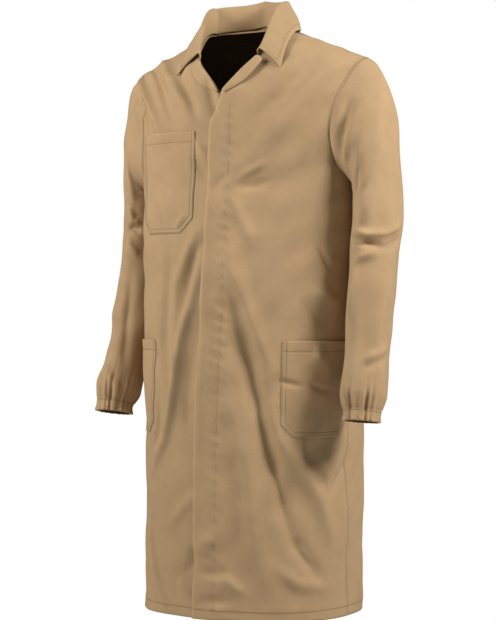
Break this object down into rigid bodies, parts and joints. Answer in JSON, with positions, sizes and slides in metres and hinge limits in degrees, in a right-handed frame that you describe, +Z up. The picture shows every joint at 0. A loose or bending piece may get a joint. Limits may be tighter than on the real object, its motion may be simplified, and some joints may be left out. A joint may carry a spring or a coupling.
{
  "type": "long work coat",
  "caption": "Long light cotton work coat in its worn shape: turn-down collar, fly front with press studs, three patch pockets, elasticated cuffs.",
  "frame": {"origin": "midway between the wearer's shoulders, at the height where the shoulder seams meet the collar", "axes": "+Z up, the front of the coat faces -Y, the wearer's left is +X"},
  "size_m": [0.5989, 0.3507, 1.0969],
  "materials": {
    "twill": "matt cotton twill",
    "twill_inside": "matt cotton twill, wrong side",
    "elastic": "woven elastic",
    "loop_tape": "woven tape",
    "snap_metal": "satin nickel plate"
  },
  "bodies": {
    "torso": {"back_panel": "twill", "left_front_side": "twill", "right_front_side": "twill", "chest_pocket": "twill", "left_hip_pocket": "twill", "right_hip_pocket": "twill", "top_collar": "twill", "under_collar": "twill", "left_lapel": "twill", "right_lapel": "twill", "back_neck_facing": "twill_inside"},
    "left_arm": {"left_sleeve": "twill", "left_cuff_hem": "twill_inside", "left_cuff_elastic": "elastic"},
    "right_arm": {"right_sleeve": "twill", "right_cuff_hem": "twill_inside", "right_cuff_elastic": "elastic"},
    "left_flap": {"left_front_edge": "twill", "fly_strip": "twill_inside", "snap_socket_1": "snap_metal", "snap_socket_2": "snap_metal", "snap_socket_3": "snap_metal", "snap_socket_4": "snap_metal", "snap_socket_5": "snap_metal"},
    "right_flap": {"right_front_edge": "twill", "right_facing": "twill_inside", "snap_stud_1": "snap_metal", "snap_stud_2": "snap_metal", "snap_stud_3": "snap_metal", "snap_stud_4": "snap_metal", "snap_stud_5": "snap_metal"},
    "loop": {"hanger_loop": "loop_tape"}
  },
  "joints": [
    {"name": "left_sleeve_lift", "type": "hinge", "parent": "torso", "child": "left_arm", "pos_m": [0.236, 0, -0.0615], "axis": [0, -1, 0], "range_deg": [0, 70]},
    {"name": "right_sleeve_lift", "type": "hinge", "parent": "torso", "child": "right_arm", "pos_m": [-0.236, 0, -0.0615], "axis": [0, 1, 0], "range_deg": [0, 70]},
    {"name": "left_front_open", "type": "hinge", "parent": "torso", "child": "left_flap", "pos_m": [0.125, -0.147, -1.034], "axis": [-0.0838, 0.0308, 0.996], "range_deg": [0, 100]},
    {"name": "right_front_open", "type": "hinge", "parent": "torso", "child": "right_flap", "pos_m": [-0.118, -0.1533, -1.034], "axis": [-0.1129, -0.0357, -0.993], "range_deg": [0, 55]},
    {"name": "hanger_loop_swing", "type": "hinge", "parent": "torso", "child": "loop", "pos_m": [0, 0.0444, 0.0045], "axis": [-1, 0, 0], "range_deg": [0, 140]}
  ],
  "couplings": [
    {"joint": "right_front_open", "follows": "left_front_open", "ratio": 0.55}
  ]
}
